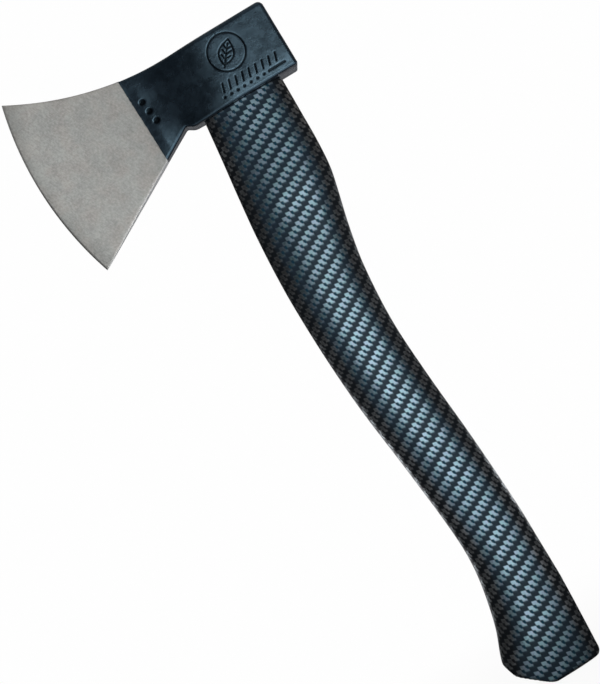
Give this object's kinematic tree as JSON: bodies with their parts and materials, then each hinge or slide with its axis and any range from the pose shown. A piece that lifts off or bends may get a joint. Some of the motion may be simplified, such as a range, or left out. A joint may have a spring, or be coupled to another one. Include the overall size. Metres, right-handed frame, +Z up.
{
  "type": "hatchet",
  "caption": "Hand hatchet with a forged wedge-shaped head, ground bit and flat poll on a curved wooden haft, held in a flared eye by a wooden wedge and steel cross wedges.",
  "frame": {"origin": "on the flat end face of the pommel, straight below the centre of the eye", "axes": "+Z up through the eye, from the pommel to the head; +X towards the poll and -X towards the cutting edge; Y across the thickness of the blade"},
  "size_m": [0.1401, 0.031, 0.3806],
  "materials": {
    "painted_steel": "semi-gloss blue-black enamel, with the bit ground to bare satin steel",
    "haft_carbon_look": "wood under a glossy carbon-look film, blue-grey weave on black",
    "wedge_wood": "bare hardwood",
    "wedge_steel": "bare rolled steel"
  },
  "bodies": {
    "root": {"head": "painted_steel", "haft": "haft_carbon_look", "wood_wedge": "wedge_wood", "steel_wedge_front": "wedge_steel", "steel_wedge_rear": "wedge_steel"}
  },
  "joints": []
}
